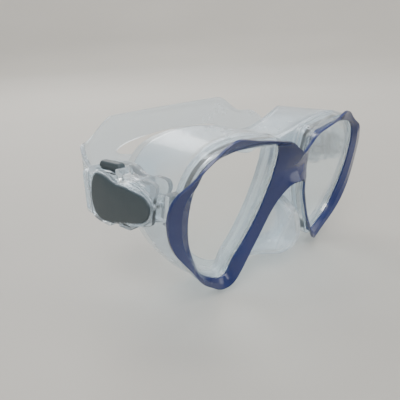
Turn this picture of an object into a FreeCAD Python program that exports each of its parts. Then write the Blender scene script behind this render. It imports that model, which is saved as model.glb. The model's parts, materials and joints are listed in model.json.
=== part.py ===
import FreeCAD, Part

import math
import os

import Sketcher
from FreeCAD import Placement, Rotation, Vector

# Diving mask, millimetres. +Z up, the front faces -Y, and the mask is symmetric about X = 0.
# Left and right are the wearer's: left is +X. Each left piece is modelled, and the right one mirrors it.
# The design datum is the point where the two lens planes meet. Every piece is then moved by the
# datum offsets, which puts the origin at the bottom centre of the whole mask.

doc = FreeCAD.newDocument("diving_mask")
sheet = doc.addObject("Spreadsheet::Sheet", "dimensions")

DIMENSIONS = {
    # datum
    "datum_back": -39.15,
    "datum_rise": 35.53,
    # lens planes: where they meet from the datum, outer ends swept back, tops leaning forward
    "lens_back": 2.15,
    "lens_up": 0.49,
    "lens_wrap": 3.75,
    "lens_lean": 12.8,
    "lens_thick": 4.0,
    "lens_lap": 0.8,
    # frame: a thin shell whose lip lies on the edge of the lens
    "shell_thick": 1.6,
    "lip_reach": 0.95,
    "lip_back": 0.1,
    "lip_edge": 1.2,
    # clear retainer ring round the back of the lens
    "retainer_front": -0.2,
    "retainer_back": -6.3,
    "retainer_lip": 0.9,
    "retainer_out": 2.4,
    "retainer_in": 1.0,
    # skirt
    "skirt_wall": 2.0,
    "skirt_front": 13.4,
    "skirt_rear": 54.0,
    "tube_end": -12.7,
    "nose_front": -6.5,
    "opening_front": 23.4,
    "bead_thick": 1.4,
    "face_radius": 88.0,
    "face_back": 26.0,
    "seal_thick": 1.6,
    # buckle
    "pivot_back": 13.0,
    "pivot_up": 22.0,
    "pin_radius": 1.5,
    "swivel_pin_x": 72.8,
    "swivel_pin_long": 9.4,
    "eye_radius": 5.0,
    "slab_x": 74.6,
    "slab_low": 14.0,
    "slab_back": -3.2,
    "slab_wide": 6.0,
    "slab_tall": 15.0,
    "slab_thick": 3.1,
    "eye_x": 75.6,
    "eye_wide": 4.4,
    "run_gap": 0.05,
    "inner_face": 69.7,
    "outer_face": 82.3,
    "case_wall": 1.7,
    "cover_thick": 2.2,
    "roller_back": 35.0,
    "roller_x": 75.9,
    "roller_radius": 2.0,
    "roller_bore": 1.05,
    "roller_tall": 20.4,
    "axle_radius": 1.0,
    "axle_low": -14.3,
    "axle_tall": 23.2,
    # strap
    "strap_thick": 2.2,
    "strap_wide": 20.0,
    "strap_mid": -2.6,
    # buttons
    "leg_x": 78.7,
    "leg_thick": 1.6,
    "foot_x": 74.4,
    "foot_front": 13.5,
    "foot_rear": 20.0,
    "cap_x": 75.8,
    "cap_thick": 4.6,
    "well_floor": 9.1,
    "window_sill": 10.9,
    "spring_radius": 2.1,
    "spring_wire": 0.25,
    "spring_tall": 4.8,
    "spring_x": 77.3,
    "spring_back": 16.7,
    # pawl
    "pawl_x": 73.0,
    "pawl_back": 24.6,
    "pawl_radius": 1.6,
    "pawl_tall": 15.4,
    "pawl_pin_radius": 0.7,
    "pawl_pin_low": -12.0,
    "pawl_pin_tall": 20.0,
}

for row, (alias, value) in enumerate(DIMENSIONS.items(), start=1):
    sheet.set(f"A{row}", alias)
    sheet.set(f"B{row}", str(value))
    sheet.setAlias(f"B{row}", alias)
doc.recompute()


def dim(alias):
    """The value of one cell of the sheet."""
    return float(sheet.get(alias))


def bind(obj, prop, formula):
    """Ties a property to the sheet; names in the formula are cell aliases."""
    for alias in sorted(DIMENSIONS, key=len, reverse=True):
        formula = formula.replace(f"<{alias}>", f"dimensions.{alias}")
    obj.setExpression(prop, formula)


DATUM = Placement(Vector(0, dim("datum_back"), dim("datum_rise")), Rotation())
LENS_TURN = Rotation(dim("lens_wrap"), 0, 90 + dim("lens_lean"))
LENS_LOCAL = Placement(Vector(0, dim("lens_back"), dim("lens_up")), LENS_TURN)
LENS_PLANE = DATUM.multiply(LENS_LOCAL)  # local x outward, y up the lens, z out of its front
PIVOT_Y = dim("datum_back") + dim("pivot_back")
PIVOT_Z = dim("datum_rise") + dim("pivot_up")


def buckle_place(x):
    """Placement of a buckle piece whose own YZ plane lies at x, with the swivel pin on its X axis."""
    return Placement(Vector(x, PIVOT_Y, PIVOT_Z), Rotation())


# ---------------------------------------------------------------- outlines on the lens plane

# Stations round one lens, from the bridge over the top, down the temple and back up the nose side:
# zone, lens opening, outer edge of the frame, and how far that edge stands out from the lens plane.
# The bridge runs past X = 0, where it is cut.
STATIONS = [
    ("bridge", (14.3, 26.8), (-2.0, 26.5), 3.4),
    ("bridge", (13.6, 31.2), (-2.0, 31.2), 4.9),
    ("bridge", (13.6, 35.4), (-1.0, 34.2), 6.1),
    ("brow", (14.4, 39.0), (4.9, 38.7), 6.2),
    ("brow", (16.4, 40.6), (9.2, 41.9), 6.1),
    ("top", (21.2, 41.4), (16.5, 43.9), 5.9),
    ("top", (28.0, 42.1), (26.2, 46.0), 6.2),
    ("top", (36.5, 42.8), (36.0, 47.4), 4.8),
    ("top", (45.0, 43.0), (47.4, 48.8), 3.6),
    ("top", (51.2, 42.2), (53.2, 46.2), 3.2),
    ("notch", (56.4, 40.9), (57.8, 43.1), 3.2),
    ("notch", (60.8, 38.6), (62.2, 40.6), 3.6),
    ("notch", (64.0, 35.9), (66.6, 38.0), 4.0),
    ("temple", (66.9, 31.2), (71.3, 33.8), 3.4),
    ("temple", (68.6, 26.8), (77.3, 28.9), 1.9),
    ("temple", (69.5, 21.6), (80.7, 22.4), 1.3),
    ("temple", (69.8, 14.6), (81.1, 14.4), 1.5),
    ("temple", (69.0, 6.8), (79.7, 6.8), 2.2),
    ("temple", (67.0, -1.4), (75.8, -1.4), 3.5),
    ("cheek", (63.6, -9.4), (69.4, -9.4), 4.9),
    ("cheek", (58.6, -18.2), (63.0, -17.8), 5.0),
    ("cheek", (52.6, -23.2), (57.4, -24.2), 4.4),
    ("tip", (46.4, -26.6), (49.8, -29.8), 4.2),
    ("tip", (42.2, -28.0), (44.4, -32.6), 4.6),
    ("tip", (39.3, -26.6), (39.4, -31.4), 5.7),
    ("limb", (36.8, -21.4), (34.2, -26.0), 6.0),
    ("limb", (31.4, -13.4), (26.8, -15.4), 4.9),
    ("limb", (25.6, -4.4), (21.0, -5.6), 4.5),
    ("limb", (20.6, 5.4), (15.2, 4.6), 4.1),
    ("limb", (17.4, 14.2), (9.2, 14.4), 5.4),
    ("arch", (15.6, 20.0), (2.9, 19.4), 7.2),
    ("arch", (14.9, 23.0), (-2.0, 20.2), 7.4),
]

# Zone: where the crease lies across the rim (0 at the opening, 1 at the outer edge), and how far it
# stands out from the straight line between the two.
ZONES = {
    "bridge": (0.32, 0.8),
    "brow": (0.40, 0.3),
    "top": (0.50, 0.3),
    "notch": (0.50, 0.2),
    "temple": (0.42, 1.2),
    "cheek": (0.40, 0.8),
    "tip": (0.45, 0.5),
    "limb": (0.50, 0.3),
    "arch": (0.34, 0.5),
}


def outward(points):
    """Unit normals of a closed run of 2-D points that goes clockwise, pointing out of it."""
    normals = []
    for k in range(len(points)):
        before, after = points[k - 1], points[(k + 1) % len(points)]
        along = (after[0] - before[0], after[1] - before[1])
        size = math.hypot(*along)
        normals.append((-along[1] / size, along[0] / size))
    return normals


OPENING = [station[1] for station in STATIONS]
OPENING_NORMALS = outward(OPENING)


def lens_outline(grow):
    """The lens opening's points moved outward by grow."""
    return [(p[0] + n[0] * grow, p[1] + n[1] * grow) for p, n in zip(OPENING, OPENING_NORMALS)]


def closed_curve(points):
    """A smooth closed B-spline through the points, given as pairs or triples."""
    curve = Part.BSplineCurve()
    curve.interpolate([Vector(*p) for p in points], PeriodicFlag=True)
    return curve


def rings_to_solid(rings):
    """A ring-shaped solid whose crease lines are the given closed runs of points, in order."""
    edges = [closed_curve(ring).toShape() for ring in rings]
    faces = [Part.makeRuledSurface(edges[k - 1], edges[k]) for k in range(len(edges))]
    shell = Part.makeShell(faces)
    shell.sewShape()
    solid = Part.makeSolid(Part.Shell(shell.Faces))
    if solid.Volume < 0:
        solid.reverse()
    return solid


# ---------------------------------------------------------------- document helpers

SUB_PARTS = []


def keep(obj, label):
    """Names a finished sub-part and lists it for writing."""
    obj.Label = label
    SUB_PARTS.append(obj)
    return obj


def feature(label, shape, place=DATUM):
    """A sub-part whose shape is worked out by Part functions."""
    obj = doc.addObject("Part::Feature", label)
    obj.Shape = shape
    obj.Placement = place
    return keep(obj, label)


def mirror(source, label):
    """The wearer's right-hand copy of a left-hand sub-part."""
    obj = doc.addObject("Part::Mirroring", label)
    obj.Source = source
    obj.Normal = Vector(1, 0, 0)
    obj.Base = Vector(0, 0, 0)
    return keep(obj, label)


def pair(obj, name):
    """Keeps a left-hand sub-part and its mirrored right-hand copy."""
    keep(obj, f"{name}_left")
    doc.recompute()
    return obj, mirror(obj, f"{name}_right")


def new_body(name, place):
    """A PartDesign body at a placement."""
    body = doc.addObject("PartDesign::Body", name)
    body.Placement = place
    return body


def new_sketch(body, name, role, lift="0"):
    """A sketch on one of the body's origin planes, lifted along the plane's normal."""
    sketch = body.newObject("Sketcher::SketchObject", name)
    plane = next(item for item in body.Origin.OriginFeatures if item.Role == role)
    sketch.AttachmentSupport = [(plane, "")]
    sketch.MapMode = "FlatFace"
    bind(sketch, "AttachmentOffset.Base.z", lift)
    return sketch


def draw_circle(sketch, x, y, radius):
    """A circle whose centre and radius are tied to the sheet by formulas."""
    index = sketch.addGeometry(Part.Circle(Vector(0, 0, 0), Vector(0, 0, 1), 1.0))
    for axis, formula in (("DistanceX", x), ("DistanceY", y)):
        row = sketch.addConstraint(Sketcher.Constraint(axis, -1, 1, index, 3, 1.0))
        bind(sketch, f"Constraints[{row}]", formula)
    row = sketch.addConstraint(Sketcher.Constraint("Radius", index, 1.0))
    bind(sketch, f"Constraints[{row}]", radius)


def draw_polygon(sketch, points):
    """A closed run of straight lines."""
    for k in range(len(points)):
        start, end = points[k - 1], points[k]
        sketch.addGeometry(Part.LineSegment(Vector(*start, 0), Vector(*end, 0)))


def draw_hull(sketch, first, second):
    """The outline of a belt round two circles, each given as (x, y, radius)."""
    x1, y1, r1 = first
    x2, y2, r2 = second
    heading = math.atan2(y2 - y1, x2 - x1)
    spread = math.acos((r1 - r2) / math.hypot(x2 - x1, y2 - y1))
    upper, lower = heading + spread, heading - spread

    def on(circle, angle):
        return Vector(circle[0] + circle[2] * math.cos(angle), circle[1] + circle[2] * math.sin(angle), 0)

    sketch.addGeometry(Part.LineSegment(on(first, upper), on(second, upper)))
    sketch.addGeometry(Part.LineSegment(on(second, lower), on(first, lower)))
    round_first = Part.Circle(Vector(x1, y1, 0), Vector(0, 0, 1), r1)
    sketch.addGeometry(Part.ArcOfCircle(round_first, upper, lower + 2 * math.pi))
    round_second = Part.Circle(Vector(x2, y2, 0), Vector(0, 0, 1), r2)
    sketch.addGeometry(Part.ArcOfCircle(round_second, lower, upper))


def pad(body, sketch, name, length):
    """Adds the sketch's prism to the body."""
    obj = body.newObject("PartDesign::Pad", name)
    obj.Profile = sketch
    bind(obj, "Length", length)
    doc.recompute()
    return obj


def pocket(body, sketch, name, length):
    """Cuts the sketch's prism, along the plane's normal, out of the body."""
    before = body.Shape.Volume
    obj = body.newObject("PartDesign::Pocket", name)
    obj.Profile = sketch
    obj.Reversed = True
    bind(obj, "Length", length)
    doc.recompute()
    if body.Shape.Volume >= before:
        raise ValueError(f"{name} cuts nothing")
    return obj


# ---------------------------------------------------------------- front frame

def rim_rings():
    """Crease lines of one half of the frame, as closed runs of 3-D points on the lens plane."""
    lip, back, thick = dim("lip_edge"), dim("lip_back"), dim("shell_thick")
    rings = [[] for _ in range(7)]
    for (zone, inner, outer, rise), seat in zip(STATIONS, lens_outline(dim("lip_reach"))):
        share, crest = ZONES[zone]
        crease = tuple(a + (b - a) * share for a, b in zip(inner, outer))
        height = lip + (rise - lip) * share + crest
        corners = [(*inner, back), (*inner, lip), (*crease, height), (*outer, rise), (*outer, rise - thick),
                   (*crease, height - thick), (*seat, back)]
        for ring, corner in zip(rings, corners):
            ring.append(corner)
    return rings


def front_frame():
    """The rigid frame: a faceted rim round each lens, joined by the bridge."""
    half = rings_to_solid(rim_rings())
    half.Placement = LENS_LOCAL
    keep_side = Part.makeBox(100, 100, 200, Vector(0, -50, -100))
    half = half.common(keep_side)
    other = half.mirror(Vector(), Vector(1, 0, 0))
    return feature("front_frame", half.fuse(other).removeSplitter())


# ---------------------------------------------------------------- lenses and their retainers

def outline_sketch(body, name, grow, lift):
    """A sketch on the lens plane holding the lens opening's outline, grown by each of the values."""
    sketch = new_sketch(body, name, "XY_Plane", lift)
    for amount in grow:
        sketch.addGeometry(closed_curve([(*p, 0) for p in lens_outline(amount)]))
    return sketch


def lens():
    """Flat tempered glass, its front on the lens plane."""
    body = new_body("Lens", LENS_PLANE)
    sketch = outline_sketch(body, "LensOutline", [dim("lens_lap")], "-<lens_thick>")
    pad(body, sketch, "LensPlate", "<lens_thick>")
    return pair(body, "lens")


def retainer():
    """Clear ring round the lens edge that clamps the skirt's bead against the lens."""
    body = new_body("Retainer", LENS_PLANE)
    lap = dim("lens_lap")
    grow = [lap + dim("retainer_out"), lap - dim("retainer_in")]
    sketch = outline_sketch(body, "RetainerOutline", grow, "<retainer_back>")
    pad(body, sketch, "RetainerRing", "<retainer_front> - <retainer_back>")
    seat = outline_sketch(body, "RetainerSeat", [lap + 0.1], "<retainer_back> + <retainer_lip>")
    pocket(body, seat, "RetainerRecess", "<retainer_front> - <retainer_back>")
    return pair(body, "lens_retainer")


# ---------------------------------------------------------------- solids from outlines

def prism(points, axis, start, length):
    """A straight prism of a polygon given in the plane across axis ('x' or 'y')."""
    if axis == "x":
        corners = [Vector(start, a, b) for a, b in points]
        along = Vector(length, 0, 0)
    else:
        corners = [Vector(a, start, b) for a, b in points]
        along = Vector(0, length, 0)
    return Part.Face(Part.makePolygon(corners + corners[:1])).extrude(along)


# ---------------------------------------------------------------- skirt

# Half outlines of the skirt, (x, z) from the datum, top centre to bottom centre.
CHAMBER_FRONT = [(0, 42), (20, 46), (46, 48.5), (60, 44.5), (67.5, 34), (68.6, 20), (66, 3), (58, -15),
                 (48, -28), (40, -34.5), (28, -35), (14, -33), (0, -32)]
CHAMBER_REAR = [(0, 46), (22, 49), (46, 48), (58, 41), (64.5, 28), (65.5, 14), (62, -2), (55, -17),
                (46, -29), (36, -36), (22, -38), (10, -36.5), (0, -35.5)]
FACE_OPENING = [(0, 30), (22, 36), (42, 36), (52, 28), (54.5, 14), (50, -2), (43, -16), (34, -25),
                (24, -27), (12, -25), (0, -24)]
NOSE_ROOT = [(0, 16), (8, 9), (14, -4), (19, -18), (17, -27), (0, -29)]
NOSE_TIP = [(0, 2), (5, -4), (9, -12), (10.5, -19), (7, -23.5), (0, -24.5)]


def mirrored_wire(half, place, shrink=0.0):
    """A closed smooth outline from its half, drawn inward by shrink, on the local XZ plane of place."""
    whole = half + [(-x, z) for x, z in reversed(half[1:-1])]
    normals = outward(whole)
    points = [(p[0] - n[0] * shrink, p[1] - n[1] * shrink) for p, n in zip(whole, normals)]
    wire = Part.Wire([closed_curve([(x, 0, z) for x, z in points]).toShape()])
    wire.Placement = place
    return wire


def leaning(back):
    """A placement whose XZ plane leans like the lenses, set back from the datum by back."""
    return Placement(Vector(0, back, 0), Rotation(0, 0, dim("lens_lean")))


def upright(back):
    """A placement whose XZ plane stands upright, set back from the datum by back."""
    return Placement(Vector(0, back, 0), Rotation())


def loft(wires):
    """A smooth solid through the closed wires."""
    return Part.makeLoft(wires, True)


def face_cylinder(grow):
    """The wearer's face as an upright cylinder behind the mask, grown by grow."""
    radius = dim("face_radius") + grow
    axis = Vector(0, dim("face_back") + dim("face_radius"), -100)
    return Part.makeCylinder(radius, 200, axis, Vector(0, 0, 1))


def eye_prism(grow, front, back):
    """The lens opening's outline, grown, swept along the lens normal between two heights."""
    points = [(*p, back) for p in lens_outline(grow)]
    face = Part.Face(Part.Wire([closed_curve(points).toShape()]))
    prism = face.extrude(Vector(0, 0, front - back))
    prism.Placement = LENS_LOCAL
    return prism


def both_sides(shape):
    """The shape and its mirror image."""
    return [shape, shape.mirror(Vector(), Vector(1, 0, 0))]


def skirt():
    """Silicone skirt: lens beads, eye tubes, chamber, nose pocket and the lip that seals on the face."""
    wall = dim("skirt_wall")
    bead_front = -dim("lens_thick")
    bead_back = bead_front - dim("bead_thick")
    tube_out = dim("lens_lap") - dim("retainer_in") - 0.1
    deep_at, rear_at = dim("skirt_front"), dim("skirt_rear")
    tube_end, nose_at = dim("tube_end"), dim("nose_front")
    outer = loft([
        mirrored_wire(CHAMBER_FRONT, leaning(deep_at)),
        mirrored_wire(CHAMBER_REAR, upright(rear_at)),
    ])
    inner = loft([
        mirrored_wire(CHAMBER_FRONT, leaning(deep_at + wall), wall),
        mirrored_wire(CHAMBER_REAR, upright(rear_at), wall),
    ])
    nose_out = loft([
        mirrored_wire(NOSE_ROOT, leaning(deep_at + 1.0)),
        mirrored_wire(NOSE_TIP, leaning(nose_at)),
    ])
    nose_in = loft([
        mirrored_wire(NOSE_ROOT, leaning(deep_at + wall + 1.0), wall),
        mirrored_wire(NOSE_TIP, leaning(wall + nose_at), wall),
    ])
    tubes = both_sides(eye_prism(tube_out, bead_back + 0.1, tube_end))
    beads = both_sides(eye_prism(dim("lens_lap"), bead_front, bead_back))
    holes = both_sides(eye_prism(tube_out - wall, bead_front + 1.0, tube_end - 1.0))
    body = outer.multiFuse(tubes + beads + [nose_out])
    hollow = inner.cut(face_cylinder(dim("seal_thick")))
    face_wire = mirrored_wire(FACE_OPENING, upright(dim("opening_front")))
    face_hole = Part.Face(face_wire).extrude(Vector(0, 60, 0))
    body = body.cut(hollow).cut(nose_in).cut(face_hole)
    for cutter in holes + [face_cylinder(0.0)]:
        body = body.cut(cutter)
    return feature("skirt", max(body.Solids, key=lambda solid: solid.Volume))


# ---------------------------------------------------------------- hinge arm and swivel pin

def hinge_arm():
    """Clear arm: a slab behind the frame's outer band, and a plate that ends in an eye round the pin."""
    corner = Vector(dim("slab_x"), dim("slab_low"), dim("slab_back"))
    slab = Part.makeBox(dim("slab_wide"), dim("slab_tall"), dim("slab_thick"), corner)
    slab.Placement = LENS_LOCAL
    x, wide, radius = dim("eye_x"), dim("eye_wide"), dim("eye_radius")
    back, up = dim("pivot_back"), dim("pivot_up")
    outline = [(back - 6.9, up - 6.4), (back, up - radius), (back, up + radius), (back - 10.0, up + 6.6)]
    plate = prism(outline, "x", x, wide)
    along = Vector(1, 0, 0)
    eye = Part.makeCylinder(radius, wide, Vector(x, back, up), along)
    bore = Part.makeCylinder(dim("pin_radius"), wide, Vector(x, back, up), along)
    obj = feature("hinge_arm_left", slab.multiFuse([plate, eye]).cut(bore).removeSplitter())
    return mirror(obj, "hinge_arm_right")


def cylinder(name, radius, height, place):
    """A Part cylinder tied to the sheet."""
    obj = doc.addObject("Part::Cylinder", name)
    bind(obj, "Radius", radius)
    bind(obj, "Height", height)
    obj.Placement = place
    return obj


def swivel_pin():
    """Pin along X through the arm's eye and the buckle's two cheeks."""
    place = buckle_place(dim("swivel_pin_x"))
    place.Rotation = Rotation(Vector(0, 1, 0), 90)
    return pair(cylinder("SwivelPin", "<pin_radius>", "<swivel_pin_long>", place), "swivel_pin")


# ---------------------------------------------------------------- buckle

# Outlines in side view, (back, up) from the swivel pin.
CASE_OUTLINE = [
    (-5.4, 9.2), (-4.6, 11.0), (-1.5, 11.9), (2.5, 12.1), (6.0, 11.2), (10.0, 9.9), (14.0, 9.8),
    (17.5, 11.2), (20.5, 13.2), (24.0, 13.8), (31.0, 13.8), (38.0, 13.3), (43.5, 12.0), (46.6, 8.0),
    (48.0, 2.0), (48.9, -5.0), (47.8, -10.2), (45.0, -14.0), (39.5, -15.6), (34.0, -16.1),
    (31.2, -15.8), (29.4, -14.2), (27.6, -12.6), (24.0, -12.2), (19.0, -12.2), (15.0, -12.1),
    (8.0, -10.6), (2.1, -9.3), (0.0, -8.3), (-1.2, -5.0), (-2.4, 0.5), (-3.4, 4.5),
]
CASE_HOLLOW = [(11.5, 6.4), (20.0, 6.0), (27.0, 7.75), (60.0, 7.75), (60.0, -12.95), (30.2, -12.95),
               (29.0, -10.8), (15.0, -10.2), (11.5, -9.4)]
CASE_END = 47.0
COVER_OUTLINE = [
    (38.6, 9.3), (41.6, 5.0), (43.2, -1.0), (43.2, -5.4), (41.8, -9.8), (38.6, -12.5), (34.0, -13.4),
    (28.5, -13.0), (22.0, -11.6), (14.0, -9.8), (6.4, -8.4), (1.6, -5.8), (-1.0, -2.4), (-1.5, 0.8),
    (0.2, 3.4), (4.5, 5.1), (10.5, 5.9), (15.8, 6.8), (20.5, 6.8), (25.0, 7.6), (29.6, 9.3),
    (34.5, 10.3),
]

# Squeeze buttons, from the swivel pin: cap from front to rear and from its near to its far level, leg from
# front to rear, and foot from its near to its far level. Near is toward the case's middle.
BUTTONS = {
    "top_button": {"cap": (22.8, 39.2, 10.9, 15.5), "leg": (23.8, 29.5), "foot": (3.15, 4.9)},
    "bottom_button": {"cap": (17.9, 27.6, -14.1, -15.9), "leg": (19.5, 25.5), "foot": (-7.95, -9.2)},
}
CLEARANCE = 0.3


def box_corners(low_x, low_y, high_x, high_y):
    """Corners of an upright rectangle."""
    return [(low_x, low_y), (high_x, low_y), (high_x, high_y), (low_x, high_y)]


def buckle_housing():
    """Clear case: fork for the arm's eye at the front, strap way at the rear, rib between the springs."""
    inner = dim("inner_face")
    body = new_body("Case", buckle_place(inner))
    outline = new_sketch(body, "CaseOutline", "YZ_Plane")
    outline.addGeometry(closed_curve([(a, b, 0) for a, b in CASE_OUTLINE]))
    pad(body, outline, "CaseBlock", "<outer_face> - <inner_face>")
    hollow = new_sketch(body, "CaseHollow", "YZ_Plane", "<case_wall>")
    draw_polygon(hollow, CASE_HOLLOW)
    pocket(body, hollow, "Hollow", "<outer_face> - <inner_face> - 2 * <case_wall>")
    end = new_sketch(body, "CaseEnd", "YZ_Plane")
    draw_polygon(end, box_corners(CASE_END, -20, 60, 20))
    pocket(body, end, "FlatEnd", "<outer_face> - <inner_face>")
    fork = new_sketch(body, "ForkSlot", "YZ_Plane", "75.2 - <inner_face>")
    draw_polygon(fork, box_corners(-8, -15, 6.6, 15))
    pocket(body, fork, "Fork", "5.2")
    relief = new_sketch(body, "InnerRelief", "YZ_Plane")
    draw_polygon(relief, box_corners(-8, -15, 8.5, 15))
    pocket(body, relief, "Relief", "3.0")
    rib = new_sketch(body, "SpringRib", "YZ_Plane")
    draw_polygon(rib, box_corners(11.0, -3.15, 20.5, -1.65))
    pad(body, rib, "Rib", "<outer_face> - <inner_face> - 0.5")
    low_x = dim("leg_x") - inner - CLEARANCE
    high_x = dim("leg_x") + dim("leg_thick") - inner + CLEARANCE
    for name, lift in (("bottom_button", "-20"), ("top_button", "5")):
        front, rear = BUTTONS[name]["leg"]
        cut = new_sketch(body, f"{name}_slot_outline", "XY_Plane", lift)
        draw_polygon(cut, box_corners(low_x, front - CLEARANCE, high_x, rear + CLEARANCE))
        pocket(body, cut, f"{name}_slot", "15")
    front, rear = BUTTONS["top_button"]["cap"][:2]
    low_x = dim("cap_x") - inner - CLEARANCE
    high_x = dim("cap_x") + dim("cap_thick") - inner + CLEARANCE
    well = new_sketch(body, "CapWellOutline", "XY_Plane", "<well_floor>")
    draw_polygon(well, box_corners(low_x, front - CLEARANCE, high_x, rear + CLEARANCE))
    pocket(body, well, "CapWell", "10")
    window = new_sketch(body, "CapWindowOutline", "XY_Plane", "<window_sill>")
    wide = dim("outer_face") - inner + 1.0
    draw_polygon(window, box_corners(low_x, front - CLEARANCE, wide, rear + CLEARANCE))
    pocket(body, window, "CapWindow", "10")
    for name, x_at, y_at, radius in (
        ("AxleHole", "<roller_x> - <inner_face>", "<roller_back>", "<axle_radius>"),
        ("PawlHole", "<pawl_x> - <inner_face>", "<pawl_back>", "<pawl_pin_radius>"),
    ):
        hole = new_sketch(body, f"{name}Sketch", "XY_Plane", "-20")
        draw_circle(hole, x_at, y_at, radius)
        pocket(body, hole, name, "40")
    pin_hole = new_sketch(body, "PinHoleSketch", "YZ_Plane")
    draw_circle(pin_hole, "0", "0", "<pin_radius> + <run_gap>")
    pocket(body, pin_hole, "PinHole", "20")
    return pair(body, "buckle_housing")


def buckle_cover():
    """Dark cover on the outer face, with a rounded edge."""
    body = new_body("Cover", buckle_place(dim("outer_face")))
    sketch = new_sketch(body, "CoverOutline", "YZ_Plane")
    sketch.addGeometry(closed_curve([(a, b, 0) for a, b in COVER_OUTLINE]))
    plate = pad(body, sketch, "CoverPlate", "<cover_thick>")
    face = max(range(len(plate.Shape.Faces)), key=lambda k: plate.Shape.Faces[k].CenterOfMass.x)
    fillet = body.newObject("PartDesign::Fillet", "CoverEdge")
    fillet.Base = (plate, [f"Face{face + 1}"])
    fillet.Radius = 1.2
    doc.recompute()
    return pair(body, "buckle_cover")


def button(name):
    """A squeeze button: rounded cap at the outside of the case, leg through its wall, foot on the spring."""
    cap_front, cap_rear, cap_near, cap_far = BUTTONS[name]["cap"]
    front, rear = BUTTONS[name]["leg"]
    foot_near, foot_far = BUTTONS[name]["foot"]
    toe, heel = dim("foot_front"), dim("foot_rear")
    radius = abs(cap_far - cap_near) / 2 - 0.01
    middle = (cap_far + cap_near) / 2
    body = new_body(name.title().replace("_", ""), buckle_place(dim("cap_x")))
    cap = new_sketch(body, f"{name}_cap", "YZ_Plane")
    draw_hull(cap, (cap_front + radius, middle, radius), (cap_rear - radius, middle, radius))
    pad(body, cap, f"{name}_cap_pad", "<cap_thick>")
    leg = new_sketch(body, f"{name}_leg", "YZ_Plane", "<leg_x> - <cap_x>")
    draw_polygon(leg, [(front, middle), (rear, middle), (rear, foot_near), (toe, foot_near), (toe, foot_far),
                       (front, foot_far)])
    pad(body, leg, f"{name}_leg_pad", "<leg_thick>")
    foot = new_sketch(body, f"{name}_foot", "YZ_Plane", "<foot_x> - <cap_x>")
    draw_polygon(foot, [(toe, foot_near), (heel, foot_near), (heel, foot_far), (toe, foot_far)])
    pad(body, foot, f"{name}_foot_pad", "<leg_x> + <leg_thick> - <foot_x>")
    return pair(body, name)


def coil(label, low):
    """A small coil spring standing on low, from the swivel pin's level."""
    wire, radius = dim("spring_wire"), dim("spring_radius")
    height = dim("spring_tall") - 2 * wire
    helix = Part.makeHelix(height / 5, height, radius)
    ring = Part.Wire([Part.Circle(Vector(radius, 0, 0), Vector(0, 1, 0), wire).toShape()])
    shape = Part.Wire(helix).makePipeShell([ring], True, True)
    place = Placement(Vector(dim("spring_x"), PIVOT_Y + dim("spring_back"), PIVOT_Z + low + wire), Rotation())
    obj = feature(f"{label}_left", shape, place)
    return mirror(obj, f"{label}_right")


def roller():
    """Plain roller that the strap turns round."""
    body = new_body("Roller", buckle_place(dim("roller_x")))
    sketch = new_sketch(body, "RollerRing", "XY_Plane", "<strap_mid> - <roller_tall> / 2")
    draw_circle(sketch, "0", "<roller_back>", "<roller_radius>")
    draw_circle(sketch, "0", "<roller_back>", "<roller_bore>")
    pad(body, sketch, "RollerTube", "<roller_tall>")
    return pair(body, "strap_roller")


def upright_pin(name, x, back, low, radius, height):
    """A pin standing along Z."""
    place = Placement(Vector(x, PIVOT_Y + back, PIVOT_Z + low), Rotation())
    return pair(cylinder(name.title().replace("_", ""), radius, height, place), name)


def pawl():
    """Bar with a pointed nose that presses the strap against the roller."""
    body = new_body("Pawl", buckle_place(dim("pawl_x")))
    bar = new_sketch(body, "PawlBar", "XY_Plane", "<strap_mid> - <pawl_tall> / 2")
    draw_hull(bar, (0.0, dim("pawl_back"), dim("pawl_radius")), (3.6, dim("pawl_back") + 2.7, 0.6))
    pad(body, bar, "PawlBlock", "<pawl_tall>")
    bore = new_sketch(body, "PawlBore", "XY_Plane", "-20")
    draw_circle(bore, "0", "<pawl_back>", "<pawl_pin_radius> + <run_gap>")
    pocket(body, bore, "PawlPinBore", "40")
    return pair(body, "pawl")


# ---------------------------------------------------------------- strap and keepers

# Strap lanes in plan either side of the roller, and where each leaves off, back from the datum.
LANE_IN = 72.5
LANE_OUT = 79.3
LANE_END = 60.0
TAIL_END = 68.0
# Bends from the end of the inner lane to the middle of the back: radius, turn in degrees, left positive.
STRAP_BENDS = [(30.0, -14.0), (16.0, 99.0)]


def strap_half_path():
    """Tail, turn round the roller and run to the centre of the back, as one wire."""
    roller_y = dim("pivot_back") + dim("roller_back")
    middle = Vector(dim("roller_x"), roller_y, 0)
    tail = Part.LineSegment(Vector(LANE_OUT, TAIL_END, 0), Vector(LANE_OUT, roller_y, 0))
    ring = Part.Circle(middle, Vector(0, 0, 1), (LANE_OUT - LANE_IN) / 2)
    turn = Part.ArcOfCircle(ring, math.pi, 2 * math.pi)
    run = Part.LineSegment(Vector(LANE_IN, roller_y, 0), Vector(LANE_IN, LANE_END, 0))
    edges = [tail.toShape(), turn.toShape(), run.toShape()]
    at, heading = Vector(LANE_IN, LANE_END, 0), 90.0
    bends = list(STRAP_BENDS)
    while bends or at.x > 0.01:
        if bends:
            radius, angle = bends.pop(0)
        else:
            angle = 180.0 - heading
            radius = at.x / math.sin(math.radians(angle))
        side = 1 if angle > 0 else -1
        centre = at + Vector(math.cos(math.radians(heading + 90 * side)),
                             math.sin(math.radians(heading + 90 * side)), 0) * radius
        spoke = at - centre
        middle_of_arc = centre + Rotation(angle / 2, 0, 0).multVec(spoke)
        end = centre + Rotation(angle, 0, 0).multVec(spoke)
        edges.append(Part.Arc(at, middle_of_arc, end).toShape())
        at, heading = end, heading + angle
    return Part.Wire(edges)


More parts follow.
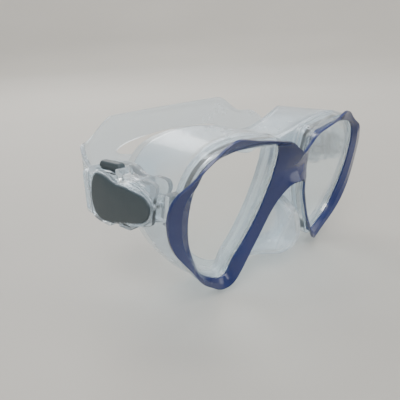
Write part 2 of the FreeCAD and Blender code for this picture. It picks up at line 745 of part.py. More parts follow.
def strap():
    """Silicone strap: one band in plan, trimmed by its side view and by the split pad at the back."""
    band = strap_half_path().makeOffset2D(dim("strap_thick") / 2, fill=True)
    tall = band.extrude(Vector(0, 0, 90))
    tall.translate(Vector(0, 0, -10))
    middle = dim("pivot_up") + dim("strap_mid")
    low, high = middle - dim("strap_wide") / 2, middle + dim("strap_wide") / 2
    rise, pad_low, pad_high, pad_at = 10.0, 9.0, 51.0, 82.0
    side_view = [(30, low), (67, low), (pad_at, low + rise), (pad_at, high + rise), (67, high), (30, high)]
    ends = prism(side_view, "x", 55, 40)
    rear_view = [(90, low + rise), (66, low + rise), (44, pad_low), (-2, pad_low),
                 (-2, pad_high), (44, pad_high), (66, high + rise), (90, high + rise)]
    rear = prism(rear_view, "y", pad_at - 0.1, 20)
    gap_mid = (pad_low + pad_high) / 2
    split = prism([(-5, gap_mid - 6), (36, gap_mid - 6), (44, gap_mid), (36, gap_mid + 6), (-5, gap_mid + 6)],
                  "y", 70, 30)
    half = tall.common(ends.fuse(rear)).cut(split)
    whole = half.fuse(half.mirror(Vector(), Vector(1, 0, 0))).removeSplitter()
    return feature("strap", whole)


def strap_keeper():
    """Loop that holds the strap's tail against the strap."""
    middle, reach = dim("strap_mid"), dim("strap_wide") / 2
    body = new_body("Keeper", buckle_place(70.2))
    outer = new_sketch(body, "KeeperBlock", "XZ_Plane", "-52.5")
    draw_polygon(outer, box_corners(0, middle - reach - 1.8, 11.6, middle + reach + 1.8))
    pad(body, outer, "KeeperPad", "4.0")
    gap = new_sketch(body, "KeeperGap", "XZ_Plane", "-60")
    draw_polygon(gap, box_corners(0.9, middle - reach - 0.4, 10.7, middle + reach + 0.4))
    pocket(body, gap, "KeeperHole", "40")
    return pair(body, "strap_keeper")


front_frame()
lens()
retainer()
skirt()
hinge_arm()
swivel_pin()
buckle_housing()
buckle_cover()
for each in BUTTONS:
    button(each)
coil("top_spring", -1.65)
coil("bottom_spring", -7.95)
roller()
upright_pin("roller_axle", dim("roller_x"), dim("roller_back"), dim("axle_low"), "<axle_radius>",
            "<axle_tall>")
pawl()
upright_pin("pawl_pin", dim("pawl_x"), dim("pawl_back"), dim("pawl_pin_low"), "<pawl_pin_radius>",
            "<pawl_pin_tall>")
strap()
strap_keeper()

# ---------------------------------------------------------------- write the sub-parts

doc.recompute()
os.makedirs("parts", exist_ok=True)
for obj in doc.Objects:
    if "Invalid" in obj.State or "Error" in obj.State:
        raise ValueError(f"{obj.Label} failed: {obj.State}")
for obj in SUB_PARTS:
    if obj.Shape.isNull() or not obj.Shape.isValid():
        raise ValueError(f"{obj.Label} has no valid shape")
    obj.Shape.exportStep(f"parts/{obj.Label}.step")
    print(obj.Label, round(obj.Shape.Volume), [round(v, 1) for v in (
        obj.Shape.BoundBox.XMin, obj.Shape.BoundBox.XMax, obj.Shape.BoundBox.YMin,
        obj.Shape.BoundBox.YMax, obj.Shape.BoundBox.ZMin, obj.Shape.BoundBox.ZMax)], len(obj.Shape.Solids))
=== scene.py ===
import json
import math

import bmesh
import bpy
from mathutils import Matrix, Vector

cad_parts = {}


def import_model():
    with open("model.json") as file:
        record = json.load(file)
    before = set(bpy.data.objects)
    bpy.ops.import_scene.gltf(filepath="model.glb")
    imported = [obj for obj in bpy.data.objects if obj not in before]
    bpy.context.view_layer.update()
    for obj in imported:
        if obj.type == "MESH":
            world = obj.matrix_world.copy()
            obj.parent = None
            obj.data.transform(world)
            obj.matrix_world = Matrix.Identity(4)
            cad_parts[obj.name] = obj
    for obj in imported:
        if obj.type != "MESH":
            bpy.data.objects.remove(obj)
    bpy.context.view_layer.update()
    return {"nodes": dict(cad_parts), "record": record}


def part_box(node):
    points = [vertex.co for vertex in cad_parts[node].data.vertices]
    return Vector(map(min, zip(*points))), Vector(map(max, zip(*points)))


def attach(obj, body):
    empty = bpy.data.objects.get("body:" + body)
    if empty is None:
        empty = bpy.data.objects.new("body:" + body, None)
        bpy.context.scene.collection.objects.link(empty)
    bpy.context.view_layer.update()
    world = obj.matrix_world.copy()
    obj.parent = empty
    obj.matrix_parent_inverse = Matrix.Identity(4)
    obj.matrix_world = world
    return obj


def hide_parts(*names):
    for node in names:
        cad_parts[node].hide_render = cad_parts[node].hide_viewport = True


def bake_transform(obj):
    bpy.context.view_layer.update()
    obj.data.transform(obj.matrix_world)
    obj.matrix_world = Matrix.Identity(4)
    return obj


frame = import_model()
nodes = frame["nodes"]

MM = 0.001
SIDES = ("left", "right")


# ---------------------------------------------------------------- material helpers

class Tree:
    """A material's node tree with short ways to add and join nodes."""

    def __init__(self, name):
        self.material = bpy.data.materials.new(name)
        self.material.use_nodes = True
        self.nodes = self.material.node_tree.nodes
        self.links = self.material.node_tree.links
        self.nodes.clear()
        self.output = self.nodes.new("ShaderNodeOutputMaterial")
        self.coords = self.nodes.new("ShaderNodeTexCoord").outputs["Object"]

    def add(self, kind, values=None, **settings):
        """A node with its settings and the values of its sockets; a value may be another socket."""
        node = self.nodes.new(kind)
        for key, value in settings.items():
            setattr(node, key, value)
        for key, value in (values or {}).items():
            if isinstance(value, bpy.types.NodeSocket):
                self.links.new(value, node.inputs[key])
            else:
                node.inputs[key].default_value = value
        return node

    def noise(self, scale, detail, roughness, stretch=None):
        """Noise over the object; scale is features per metre, stretch squeezes it along an axis."""
        vector = self.coords
        if stretch:
            vector = self.add("ShaderNodeMapping", {"Vector": vector, "Scale": stretch}).outputs[0]
        values = {"Vector": vector, "Scale": scale, "Detail": detail, "Roughness": roughness}
        return self.add("ShaderNodeTexNoise", values).outputs["Fac"]

    def ramp(self, factor, low, high, low_value, high_value):
        """Maps a factor from low..high to low_value..high_value."""
        return self.add("ShaderNodeMapRange", {
            "Value": factor, "From Min": low, "From Max": high, "To Min": low_value, "To Max": high_value,
        }).outputs[0]

    def blend(self, factor, first, second):
        """A colour between two colours."""
        node = self.add("ShaderNodeMix", data_type="RGBA")
        for socket, value in ((node.inputs[0], factor), (node.inputs[6], first), (node.inputs[7], second)):
            if isinstance(value, bpy.types.NodeSocket):
                self.links.new(value, socket)
            else:
                socket.default_value = value
        return node.outputs[2]

    def bump(self, height, distance, strength, normal):
        """A bump of the given depth in metres, on top of other normals."""
        values = {"Height": height, "Distance": distance, "Strength": strength, "Normal": normal}
        return self.add("ShaderNodeBump", values).outputs[0]

    def finish(self, shader):
        """Joins the shader to the output and gives the material."""
        self.links.new(shader, self.output.inputs["Surface"])
        return self.material


def rounded(tree, radius):
    """Normals that soften the hard edges of a moulded part."""
    return tree.add("ShaderNodeBevel", {"Radius": radius}, samples=6).outputs[0]


def lamp_pass(tree, shader, tint):
    """Lets lamp light through a clear material, tinted, in place of a solid shadow."""
    clear = tree.add("ShaderNodeBsdfTransparent", {"Color": tint})
    path = tree.add("ShaderNodeLightPath")
    mix = tree.add("ShaderNodeMixShader")
    tree.links.new(path.outputs["Is Shadow Ray"], mix.inputs[0])
    tree.links.new(shader, mix.inputs[1])
    tree.links.new(clear.outputs[0], mix.inputs[2])
    return mix.outputs[0]


# ---------------------------------------------------------------- materials

def blue_polycarbonate():
    """Glossy navy moulding: faint flow marks, very fine orange peel and light scuffs."""
    tree = Tree("blue_polycarbonate")
    flow = tree.ramp(tree.noise(28.0, 3.0, 0.5, (1.0, 1.0, 0.35)), 0.35, 0.65, 0.0, 1.0)
    colour = tree.blend(flow, (0.013, 0.023, 0.100, 1), (0.021, 0.036, 0.142, 1))
    scuff = tree.noise(260.0, 5.0, 0.6, (1.0, 0.3, 1.0))
    roughness = tree.ramp(scuff, 0.45, 0.75, 0.22, 0.28)
    peel = tree.noise(700.0, 2.0, 0.5)
    normal = tree.bump(peel, 0.000006, 0.4, rounded(tree, 0.0005))
    shader = tree.add("ShaderNodeBsdfPrincipled", {
        "Base Color": colour, "Roughness": roughness, "IOR": 1.55, "Normal": normal,
        "Coat Weight": 0.25, "Coat Roughness": 0.10,
    })
    return tree.finish(shader.outputs[0])


def lens_glass():
    """Tempered glass, clean but for faint smears."""
    tree = Tree("lens_glass")
    smear = tree.noise(60.0, 5.0, 0.6, (1.0, 1.0, 0.4))
    roughness = tree.ramp(smear, 0.5, 0.8, 0.0, 0.06)
    shader = tree.add("ShaderNodeBsdfPrincipled", {
        "Base Color": (0.97, 0.99, 0.98, 1), "Roughness": roughness, "IOR": 1.5, "Transmission Weight": 1.0,
    })
    return tree.finish(lamp_pass(tree, shader.outputs[0], (0.95, 0.97, 0.96, 1)))


def clear_moulding(name, colour, haze, rough_low, rough_high, ior, radius):
    """A clear moulded material: a refracting body with a little haze and soft surface waves."""
    tree = Tree(name)
    cloud = tree.noise(45.0, 4.0, 0.6)
    roughness = tree.ramp(cloud, 0.35, 0.7, rough_low, rough_high)
    waves = tree.noise(140.0, 3.0, 0.5)
    normal = tree.bump(waves, 0.00012, 0.5, rounded(tree, radius))
    body = tree.add("ShaderNodeBsdfPrincipled", {
        "Base Color": colour, "Roughness": roughness, "IOR": ior, "Normal": normal,
        "Transmission Weight": 1.0,
    })
    milk = tree.add("ShaderNodeBsdfPrincipled", {
        "Base Color": colour, "Roughness": 0.45, "IOR": ior, "Normal": normal,
    })
    mix = tree.add("ShaderNodeMixShader")
    tree.links.new(tree.ramp(cloud, 0.3, 0.7, haze * 0.7, haze * 1.3), mix.inputs[0])
    tree.links.new(body.outputs[0], mix.inputs[1])
    tree.links.new(milk.outputs[0], mix.inputs[2])
    tint = tuple(c * (1 - haze) for c in colour[:3]) + (1,)
    return tree.finish(lamp_pass(tree, mix.outputs[0], tint))


def dark_plastic():
    """Dark grey moulded plastic with a fine grain."""
    tree = Tree("dark_plastic")
    grain = tree.noise(2600.0, 3.0, 0.6)
    tone = tree.noise(90.0, 3.0, 0.5)
    colour = tree.blend(tone, (0.035, 0.052, 0.063, 1), (0.053, 0.075, 0.088, 1))
    roughness = tree.ramp(grain, 0.3, 0.7, 0.38, 0.52)
    normal = tree.bump(grain, 0.00004, 0.6, rounded(tree, 0.0005))
    shader = tree.add("ShaderNodeBsdfPrincipled", {
        "Base Color": colour, "Roughness": roughness, "Normal": normal,
    })
    return tree.finish(shader.outputs[0])


def steel():
    """Drawn stainless steel."""
    tree = Tree("steel")
    lines = tree.noise(1800.0, 3.0, 0.6, (1.0, 1.0, 0.08))
    roughness = tree.ramp(lines, 0.3, 0.7, 0.22, 0.40)
    shader = tree.add("ShaderNodeBsdfPrincipled", {
        "Base Color": (0.62, 0.62, 0.63, 1), "Metallic": 1.0, "Roughness": roughness,
    })
    return tree.finish(shader.outputs[0])


MATERIALS = {
    "frame_blue": blue_polycarbonate(),
    "lens_glass": lens_glass(),
    "clear_plastic": clear_moulding("clear_plastic", (0.86, 0.91, 0.94, 1), 0.10, 0.03, 0.10, 1.34, 0.0004),
    "clear_silicone": clear_moulding("clear_silicone", (0.87, 0.93, 0.97, 1), 0.16, 0.16, 0.30, 1.41, 0.0008),
    "dark_plastic": dark_plastic(),
    "steel": steel(),
}


def paint(obj, slot):
    """Gives a piece or CAD node the material of its slot."""
    obj.data.materials.clear()
    obj.data.materials.append(MATERIALS[slot])


for entry in frame["record"]["subparts"]:
    paint(nodes[entry["node"]], entry["material_slot"])


# ---------------------------------------------------------------- mesh helpers

WELD_GAP = 2e-6  # CAD points closer than this are the same point


def link(name, mesh):
    """An object for a mesh, in the scene."""
    obj = bpy.data.objects.new(name, mesh)
    bpy.context.scene.collection.objects.link(obj)
    return obj


def from_faces(name, points, faces):
    """A smooth-shaded object from points in metres and faces."""
    mesh = bpy.data.meshes.new(name)
    mesh.from_pydata([tuple(p) for p in points], [], faces)
    mesh.validate()
    mesh.shade_smooth()
    return link(name, mesh)


def copy_of(node, name):
    """A new object with the mesh that a CAD node has at rest."""
    mesh = nodes[node].data.copy()
    mesh.transform(nodes[node].matrix_world)
    return link(name, mesh)


def weld(obj, gap, flat=0.0):
    """Joins doubled points, and joins faces that lie within the angle flat of each other."""
    work = bmesh.new()
    work.from_mesh(obj.data)
    bmesh.ops.remove_doubles(work, verts=work.verts, dist=gap)
    if flat:
        bmesh.ops.dissolve_limit(work, angle_limit=flat, verts=work.verts, edges=work.edges)
    bmesh.ops.recalc_face_normals(work, faces=work.faces)
    work.to_mesh(obj.data)
    work.free()


def modify(obj, kind, **settings):
    """Adds a modifier, applies it and takes it off again."""
    modifier = obj.modifiers.new(kind.lower(), kind)
    for key, value in settings.items():
        setattr(modifier, key, value)
    bpy.context.view_layer.update()
    shaped = bpy.data.meshes.new_from_object(obj.evaluated_get(bpy.context.evaluated_depsgraph_get()))
    obj.modifiers.clear()
    obj.data = shaped


def place(obj, body, slot, *replaced):
    """Gives a piece its material and body, and hides the CAD nodes it stands for."""
    paint(obj, slot)
    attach(obj, body)
    if replaced:
        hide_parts(*replaced)


def sweep(name, path, across, half_thick, half_wide, corners, closed=False):
    """A rounded bar along a path in a plane; across is the plane's normal, and half_wide lies along it."""
    points, faces = [], []
    count = len(path)
    for k, at in enumerate(path):
        before = path[k - 1] if closed or k else at
        after = path[(k + 1) % count] if closed or k < count - 1 else at
        side = (after - before).cross(across).normalized()
        end = 1.0 if closed or 0 < k < count - 1 else 0.35
        for i in range(corners):
            turn = math.tau * (i + 0.5) / corners
            flat, tall = math.cos(turn), math.sin(turn)
            flat = math.copysign(abs(flat) ** 0.6, flat)
            tall = math.copysign(abs(tall) ** 0.6, tall)
            points.append(at + side * half_thick * flat * end + across * half_wide * tall * end)
    for k in range(count if closed else count - 1):
        for i in range(corners):
            a, b = k * corners, (k + 1) % count * corners
            j = (i + 1) % corners
            faces.append((a + i, a + j, b + j, b + i))
    if not closed:
        faces.append(tuple(range(corners)))
        faces.append(tuple((count - 1) * corners + i for i in range(corners)))
    obj = from_faces(name, points, faces)
    weld(obj, 1e-6)
    return obj


def softened(node, body, slot, width, sharp=24.0):
    """Stands in for a hard CAD node: the same solid, its edges sharper than an angle rounded."""
    obj = copy_of(node, f"{node}_soft_edges")
    weld(obj, WELD_GAP, math.radians(0.5))
    modify(obj, "BEVEL", width=width, segments=2, limit_method="ANGLE", angle_limit=math.radians(sharp),
           use_clamp_overlap=True, harden_normals=False)
    obj.data.shade_smooth()
    modify(obj, "WEIGHTED_NORMAL", keep_sharp=False, weight=60)
    place(obj, body, slot, node)


# ---------------------------------------------------------------- strap

ROLLER = [sum(pair) / 2 for pair in zip(*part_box("strap_roller_left"))]
LANE_OUT = ROLLER[0] + 3.4 * MM  # middle of the strap outboard of the roller
LANE_LONG = 12.0 * MM  # straight run behind the roller, inboard
LANE_STEPS = 10
TAIL_LONG = 20.0 * MM
TAIL_STEPS = 40
ROLLER_STEP, BEND_STEP = 0.8 * MM, 1.3 * MM
BENDS = [(30.0 * MM, -14.0), (16.0 * MM, 99.0)]  # radius and degrees, from the lane to the back

STRAP_HALF = 10.0 * MM
SHEET_HALF = 0.75 * MM
RISE_START, RISE_LONG, RISE = 19.0 * MM, 15.0 * MM, 10.0 * MM
PAD_X, PAD_GROW = 44.0 * MM, 22.0 * MM  # half length of the split, and how far before it the pad widens
PAD_HALF = 21.0 * MM
PAD_LIFT = 0.6 * MM
SPLIT_HALF = 6.0 * MM

ROWS = [1.0, 0.965, 0.88, 0.80, 0.6, 0.4, 0.2, 0.07, 0.0]  # share of the width, from edge to middle
EDGE_SHARE = 0.85  # rows past this share are the raised rim
SLIT_SHARE = 0.1  # rows under this share are the rim of the split
GROOVE_SHARE = 0.15  # grooves lie between this share and the rim
RIM_HIGH, RIDGE_HIGH, GROOVE_DEEP = 0.45 * MM, 0.35 * MM, 0.4 * MM
RIB_PITCH = 2.4 * MM
END_START, END_STEPS = 0.35, 9.0  # how the tail's end rounds off over its last steps


def smooth_step(t):
    """Goes smoothly from 0 to 1 as t does."""
    t = min(max(t, 0.0), 1.0)
    return t * t * (3 - 2 * t)


def arc(centre, spoke, turn, step):
    """Points along an arc after its first one; turn in radians, left positive."""
    count = max(2, math.ceil(abs(turn) * spoke.length / step))
    return [centre + Matrix.Rotation(turn * k / count, 2) @ spoke for k in range(1, count + 1)]


def strap_plan():
    """Half of the strap in plan: tail, turn round the roller, and the run to the centre of the back."""
    middle = Vector((ROLLER[0], ROLLER[1]))
    path = [Vector((LANE_OUT, middle.y + TAIL_LONG * (1 - k / TAIL_STEPS))) for k in range(TAIL_STEPS + 1)]
    path += arc(middle, path[-1] - middle, -math.pi, ROLLER_STEP)
    path += [path[-1] + Vector((0, LANE_LONG * k / LANE_STEPS)) for k in range(1, LANE_STEPS + 1)]
    heading = math.pi / 2
    for radius, degrees in BENDS + [(None, None)]:
        at = path[-1]
        turn = math.radians(degrees) if radius else math.pi - heading
        radius = radius or at.x / math.sin(turn)
        toward = Vector((-math.sin(heading), math.cos(heading))) * math.copysign(radius, turn)
        path += arc(at + toward, -toward, turn, BEND_STEP)
        heading += turn
    return path


def strap_faces(wide, count, splits):
    """Faces of two layers of points, joined round the outer edge, the ends and the split."""
    low, high = len(ROWS) - 1, len(ROWS)  # the rows on either side of the middle
    shift = wide * count
    faces = []
    for k in range(count - 1):
        for r in range(wide - 1):
            if r == low:
                continue
            a, b, c, d = k * wide + r, (k + 1) * wide + r, (k + 1) * wide + r + 1, k * wide + r + 1
            faces += [(a, b, c, d), (a + shift, d + shift, c + shift, b + shift)]
        edges = [0, wide - 1]
        if splits[k] or splits[k + 1]:
            edges += [low, high]
        for r in edges:
            a, b = k * wide + r, (k + 1) * wide + r
            faces.append((a, b, b + shift, a + shift))
    for k in (0, count - 1):
        for r in range(wide - 1):
            if r != low:
                a, b = k * wide + r, k * wide + r + 1
                faces.append((a, b, b + shift, a + shift))
    return faces


def strap():
    """Silicone strap as one ribbed sheet with a raised rim, split in two round the back of the head."""
    half = strap_plan()
    path = half + [Vector((-p.x, p.y)) for p in reversed(half[:-1])]
    rows = [(1, share) for share in ROWS] + [(-1, share) for share in reversed(ROWS)]
    fronts, backs, splits, run = [], [], [], 0.0
    for k, at in enumerate(path):
        along = (path[min(k + 1, len(path) - 1)] - path[max(k - 1, 0)]).normalized()
        out = Vector((along.y, -along.x))
        run += (at - path[k - 1]).length if k else 0.0
        from_end = min(k, len(path) - 1 - k)
        lift = 0.0 if from_end <= TAIL_STEPS else smooth_step((at.y - ROLLER[1] - RISE_START) / RISE_LONG)
        grow = smooth_step((PAD_X + PAD_GROW - abs(at.x)) / PAD_GROW) if lift > 0.99 else 0.0
        high = STRAP_HALF + (PAD_HALF - STRAP_HALF) * grow
        middle = ROLLER[2] + RISE * lift + PAD_LIFT * grow
        inside = 1 - (at.x / PAD_X) ** 2
        gap = SPLIT_HALF * math.sqrt(inside) if inside > 0 and grow > 0.9 else 0.0
        splits.append(gap > 0)
        rounding = math.sqrt(min(1.0, END_START + from_end / END_STEPS))
        rib = 0.5 - 0.5 * math.cos(math.tau * run / RIB_PITCH)
        for sign, share in rows:
            z = middle + sign * (gap + (high * rounding - gap) * share)
            rim = RIM_HIGH if share > EDGE_SHARE or (gap > 0 and share < SLIT_SHARE) else 0.0
            ridge = RIDGE_HIGH * rib if share < EDGE_SHARE and not grow else 0.0
            groove = GROOVE_DEEP * rib if GROOVE_SHARE < share < EDGE_SHARE and gap > 2 * MM else 0.0
            front = at + out * (SHEET_HALF + rim + ridge + groove)
            back = at - out * (SHEET_HALF + rim * 0.5)
            fronts.append(Vector((front.x, front.y, z)))
            backs.append(Vector((back.x, back.y, z)))
    obj = from_faces("strap_ribbed", fronts + backs, strap_faces(len(rows), len(path), splits))
    weld(obj, 1e-5)
    modify(obj, "SUBSURF", levels=1, render_levels=1)
    obj.data.shade_smooth()
    place(obj, "buckle_left", "clear_silicone", "strap")


KEEPER_THICK = 0.45 * MM  # half of the band's thickness
KEEPER_CORNER = 2.0 * MM


def keepers():
    """Soft loops that hold the tails of the strap."""
    for side in SIDES:
        low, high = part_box(f"strap_keeper_{side}")
        middle_x, middle_y, middle_z = ((a + b) / 2 for a, b in zip(low, high))
        corners = ((high.x, high.z, 0), (low.x, high.z, 90), (low.x, low.z, 180), (high.x, low.z, 270))
        path = []
        for x, z, start in corners:
            turn_x = x - math.copysign(KEEPER_CORNER + KEEPER_THICK, x - middle_x)
            turn_z = z - math.copysign(KEEPER_CORNER + KEEPER_THICK, z - middle_z)
            for k in range(7):
                turn = math.radians(start + 15 * k)
                path.append(Vector((turn_x + KEEPER_CORNER * math.cos(turn), middle_y,
                                    turn_z + KEEPER_CORNER * math.sin(turn))))
        half_wide = (high.y - low.y) / 2
        obj = sweep(f"strap_keeper_loop_{side}", path, Vector((0, 1, 0)), KEEPER_THICK, half_wide, 12, True)
        modify(obj, "SUBSURF", levels=1, render_levels=1)
        obj.data.shade_smooth()
        place(obj, f"buckle_{side}", "clear_silicone", f"strap_keeper_{side}")


# ---------------------------------------------------------------- skirt

VOXEL = 0.5 * MM


def skirt():
    """Silicone skirt: the moulded shape with all its edges run soft."""
    obj = copy_of("skirt", "skirt_moulded")
    weld(obj, WELD_GAP)
    modify(obj, "REMESH", mode="VOXEL", voxel_size=VOXEL, adaptivity=0.0, use_smooth_shade=True)
    modify(obj, "SMOOTH", factor=0.5, iterations=12)
    modify(obj, "DECIMATE", ratio=0.35)
    obj.data.shade_smooth()
    place(obj, "mask", "clear_silicone", "skirt")


# ---------------------------------------------------------------- buckle details

def inset(loop, distance):
    """A closed loop of (y, z) points moved inward; negative distances move it outward."""
    moved = []
    count = len(loop)
    for k, at in enumerate(loop):
        along = (loop[(k + 1) % count] - loop[k - 1]).normalized()
        moved.append(at + Vector((-along.y, along.x)) * distance)
    return moved


def pillow(name, loop, x_back, x_face, edge, dome, round_back=False):
    """A pad with rounded edges: its outline is a counterclockwise (y, z) loop, its face bulges by dome."""
    outward = math.copysign(1.0, x_face - x_back)
    steps = [math.radians(15 * k) for k in range(7)]
    rings = []
    if round_back:
        for t in reversed(steps):
            rings.append((edge * (1 - math.cos(t)), x_back + outward * edge * (1 - math.sin(t))))
    else:
        rings.append((0.0, x_back))
    for t in steps:
        rings.append((edge * (1 - math.cos(t)), x_face - outward * edge * (1 - math.sin(t))))
    loops = [(inset(loop, into), x) for into, x in rings]
    rim, count = loops[-1][0], len(loop)
    middle = sum(rim, Vector((0, 0))) / count
    for share in (0.88, 0.72, 0.52, 0.3, 0.1):
        smaller = [middle + (p - middle) * share for p in rim]
        loops.append((smaller, x_face + outward * dome * (1 - share * share)))
    points = [Vector((x, p.x, p.y)) for ring, x in loops for p in ring]
    faces = []
    for ring in range(len(loops) - 1):
        for k in range(count):
            a, b, j = ring * count, (ring + 1) * count, (k + 1) % count
            faces.append((a + k, a + j, b + j, b + k))
    faces.append(tuple(range(count)))
    faces.append(tuple((len(loops) - 1) * count + k for k in range(count)))
    obj = from_faces(name, points, faces)
    weld(obj, 1e-7)
    return obj


OUTLINE_POINTS = 72


def outline_at(node, x):
    """The (y, z) outline that a CAD node has in the plane at x, as evenly spaced points."""
    work = bmesh.new()
    work.from_mesh(nodes[node].data)
    everything = work.verts[:] + work.edges[:] + work.faces[:]
    cut = bmesh.ops.bisect_plane(work, geom=everything, plane_co=(x, 0, 0), plane_no=(1, 0, 0))["geom_cut"]
    rim = [Vector((v.co.y, v.co.z)) for v in cut if isinstance(v, bmesh.types.BMVert)]
    work.free()
    middle = sum(rim, Vector((0, 0))) / len(rim)
    rim.sort(key=lambda p: math.atan2(p.y - middle.y, p.x - middle.x))
    lengths = [(rim[k] - rim[k - 1]).length for k in range(len(rim))]
    total, loop = sum(lengths), []
    k, gone = 0, 0.0
    for step in range(OUTLINE_POINTS):
        target = total * step / OUTLINE_POINTS
        while gone + lengths[(k + 1) % len(rim)] < target:
            gone += lengths[(k + 1) % len(rim)]
            k += 1
        share = (target - gone) / max(lengths[(k + 1) % len(rim)], 1e-9)
        loop.append(rim[k % len(rim)].lerp(rim[(k + 1) % len(rim)], share))
    return loop


COVER_DOME, COVER_EDGE = 0.55 * MM, 0.9 * MM
RIM_GAP, RIM_RISE = 0.45 * MM, 0.35 * MM  # middle of the rim, out from the cover and up from the case
RIM_HALF_THICK, RIM_HALF_TALL = 0.32 * MM, 0.75 * MM


def covers():
    """Dark covers with a gently crowned face, each in a fine clear rim."""
    for side in SIDES:
        low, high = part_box(f"buckle_cover_{side}")
        back, face = (low.x, high.x) if side == "left" else (high.x, low.x)
        loop = outline_at(f"buckle_cover_{side}", back + (face - back) * 0.2)
        flat = face - math.copysign(COVER_DOME, face)
        obj = pillow(f"cover_crowned_{side}", loop, back, flat, COVER_EDGE, COVER_DOME)
        place(obj, f"buckle_{side}", "dark_plastic", f"buckle_cover_{side}")
        rim = [Vector((back + math.copysign(RIM_RISE, face), p.x, p.y)) for p in inset(loop, -RIM_GAP)]
        obj = sweep(f"cover_rim_{side}", rim, Vector((1, 0, 0)), RIM_HALF_THICK, RIM_HALF_TALL, 8, True)
        obj.data.shade_smooth()
        place(obj, f"buckle_{side}", "clear_plastic")


CAP_TALL = CAP_THICK = 4.6 * MM
CAP_DOME, CAP_EDGE = 0.3 * MM, 1.3 * MM
CAP_DIP = 0.01 * MM  # the cut that measures the cap lies this far under it


def part_of(node, name, level, above):
    """The part of a CAD node that is above or below a level, closed again where it is cut."""
    obj = copy_of(node, name)
    weld(obj, WELD_GAP)
    work = bmesh.new()
    work.from_mesh(obj.data)
    everything = work.verts[:] + work.edges[:] + work.faces[:]
    bmesh.ops.bisect_plane(work, geom=everything, plane_co=(0, 0, level), plane_no=(0, 0, -1 if above else 1),
                           clear_outer=True)
    bmesh.ops.holes_fill(work, edges=[e for e in work.edges if e.is_boundary])
    bmesh.ops.recalc_face_normals(work, faces=work.faces)
    work.to_mesh(obj.data)
    work.free()
    return obj


def top_buttons():
    """Dark pill-shaped caps on clear legs."""
    for side in SIDES:
        node = f"top_button_{side}"
        low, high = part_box(node)
        level = high.z - CAP_TALL
        leg = part_of(node, f"button_leg_{side}", level, False)
        place(leg, node, "clear_plastic")
        cap = part_of(node, f"button_cap_cut_{side}", level - CAP_DIP, True)
        y_low = min(v.co.y for v in cap.data.vertices)
        y_high = max(v.co.y for v in cap.data.vertices)
        bpy.data.objects.remove(cap)
        radius, middle = CAP_TALL / 2, high.z - CAP_TALL / 2
        loop = []
        for centre, start in ((y_high - radius, -90), (y_low + radius, 90)):
            for k in range(19):
                turn = math.radians(start + 10 * k)
                loop.append(Vector((centre + radius * math.cos(turn), middle + radius * math.sin(turn))))
        back, face = (high.x - CAP_THICK, high.x) if side == "left" else (low.x + CAP_THICK, low.x)
        flat = face - math.copysign(CAP_DOME, face)
        obj = pillow(f"button_cap_{side}", loop, back, flat, CAP_EDGE, CAP_DOME, True)
        place(obj, node, "dark_plastic", node)


CASE_FACE = 82.3 * MM
RIB_RUN = [(13.0, 8.4), (9.5, 7.9), (5.5, 7.0), (1.5, 5.6), (-1.2, 3.6), (-2.6, 1.2)]  # back, up; mm
RIBS = 4
RIB_STEP = 1.2  # mm
RIB_HALF_WIDE, RIB_HALF_TALL = 0.34 * MM, 0.75 * MM


def case_ribs():
    """Fine parallel ribs on the outer face of each case, above the cover."""
    for side in SIDES:
        face = CASE_FACE if side == "left" else -CASE_FACE
        low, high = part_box(f"swivel_pin_{side}")
        pin_y, pin_z = (low.y + high.y) / 2, (low.z + high.z) / 2
        for row in range(RIBS):
            rise = RIB_STEP * (row + 0.6)
            path = [Vector((face, pin_y + (a - 0.35 * rise) * MM, pin_z + (b + rise) * MM))
                    for a, b in RIB_RUN[:len(RIB_RUN) - row]]
            obj = sweep(f"case_rib_{row}_{side}", path, Vector((1, 0, 0)), RIB_HALF_WIDE, RIB_HALF_TALL, 8)
            modify(obj, "SUBSURF", levels=1, render_levels=1)
            obj.data.shade_smooth()
            place(obj, f"buckle_{side}", "clear_plastic")


def springs():
    """Steel coil springs, copied from the CAD nodes."""
    for side in SIDES:
        for level in ("top", "bottom"):
            node = f"{level}_spring_{side}"
            obj = copy_of(node, f"{level}_coil_{side}")
            obj.data.shade_smooth()
            paint(obj, "steel")
            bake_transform(obj)
            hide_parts(node)


softened("front_frame", "mask", "frame_blue", 0.35 * MM, 18.0)
for each in SIDES:
    softened(f"lens_retainer_{each}", "mask", "clear_plastic", 0.25 * MM)
    softened(f"hinge_arm_{each}", "mask", "clear_plastic", 0.5 * MM)
    softened(f"buckle_housing_{each}", f"buckle_{each}", "clear_plastic", 0.35 * MM)
    softened(f"bottom_button_{each}", f"bottom_button_{each}", "clear_plastic", 0.4 * MM)
strap()
keepers()
skirt()
covers()
top_buttons()
case_ribs()
springs()


# ---------------------------------------------------------------- stage

BOWL = [
    (0.0, 0.0), (0.5, 0.0), (1.2, 0.0), (1.6, 0.03), (1.95, 0.13), (2.25, 0.36), (2.45, 0.72), (2.55, 1.3),
    (2.6, 2.2),
]  # reach and level of each ring of the floor
BOWL_AROUND = 64
MASK_MIDDLE = (0, 0, 0.05)
CAMERA_PLACE = (-0.20305, -0.18084, 0.12612)
CAMERA_AZIMUTH, CAMERA_ELEVATION, CAMERA_ROLL = -44.39, 18.71, -2.9
CAMERA_LENS, CAMERA_SENSOR = 43.14, 36.0


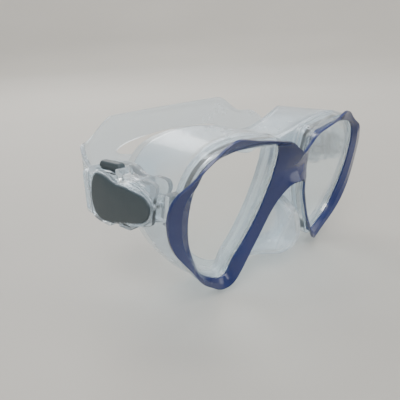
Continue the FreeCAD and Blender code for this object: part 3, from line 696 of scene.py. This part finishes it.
def floor():
    """Plain pale floor that curves up all round, so no edge of it is seen."""
    points, faces = [], []
    for reach, level in BOWL:
        for k in range(BOWL_AROUND):
            turn = math.tau * k / BOWL_AROUND
            points.append((reach * math.cos(turn), reach * math.sin(turn), level))
    for ring in range(len(BOWL) - 1):
        a, b = ring * BOWL_AROUND, (ring + 1) * BOWL_AROUND
        for k in range(BOWL_AROUND):
            j = (k + 1) % BOWL_AROUND
            faces.append((a + k, b + k, b + j, a + j))
    obj = from_faces("floor", points, faces)
    weld(obj, 1e-6)
    tree = Tree("pale_floor")
    tone = tree.noise(3.0, 3.0, 0.5)
    colour = tree.blend(tone, (0.475, 0.455, 0.415, 1), (0.53, 0.51, 0.47, 1))
    shader = tree.add("ShaderNodeBsdfPrincipled", {"Base Color": colour, "Roughness": 0.6})
    obj.data.materials.append(tree.finish(shader.outputs[0]))


def area_light(name, at, aim, size, power):
    """A soft square white lamp aimed at a point."""
    data = bpy.data.lights.new(name, "AREA")
    data.size = size
    data.energy = power
    obj = bpy.data.objects.new(name, data)
    obj.location = at
    obj.rotation_euler = (Vector(aim) - Vector(at)).to_track_quat("-Z", "Y").to_euler()
    bpy.context.scene.collection.objects.link(obj)


def world():
    """Even pale surroundings."""
    shade = bpy.data.worlds.new("studio")
    shade.use_nodes = True
    background = shade.node_tree.nodes["Background"]
    background.inputs["Color"].default_value = (0.80, 0.80, 0.81, 1)
    background.inputs["Strength"].default_value = 0.55
    bpy.context.scene.world = shade


def camera():
    """Looks down at the near side of the mask from its front right, tilted a little."""
    azimuth, elevation = math.radians(CAMERA_AZIMUTH), math.radians(CAMERA_ELEVATION)
    roll = math.radians(CAMERA_ROLL)
    back = Vector((math.sin(azimuth) * math.cos(elevation), -math.cos(azimuth) * math.cos(elevation),
                   math.sin(elevation)))
    level = (-back).cross(Vector((0, 0, 1))).normalized()
    upright = level.cross(-back)
    right = math.cos(roll) * level + math.sin(roll) * upright
    up = -math.sin(roll) * level + math.cos(roll) * upright
    data = bpy.data.cameras.new("camera")
    data.sensor_width = CAMERA_SENSOR
    data.lens = CAMERA_LENS
    data.clip_start = 0.01
    obj = bpy.data.objects.new("camera", data)
    turn = Matrix((right, up, back)).transposed().to_4x4()
    obj.matrix_world = Matrix.Translation(CAMERA_PLACE) @ turn
    bpy.context.scene.collection.objects.link(obj)
    bpy.context.scene.camera = obj


floor()
world()
area_light("key", (-0.9, -0.7, 1.3), MASK_MIDDLE, 1.0, 22.0)
area_light("fill", (0.9, -1.1, 0.7), MASK_MIDDLE, 1.2, 9.0)
area_light("rim", (0.4, 1.1, 1.0), MASK_MIDDLE, 0.8, 10.0)
area_light("wall", (0.5, 0.5, 1.7), (1.9, 1.9, 0.3), 1.4, 34.0)
camera()
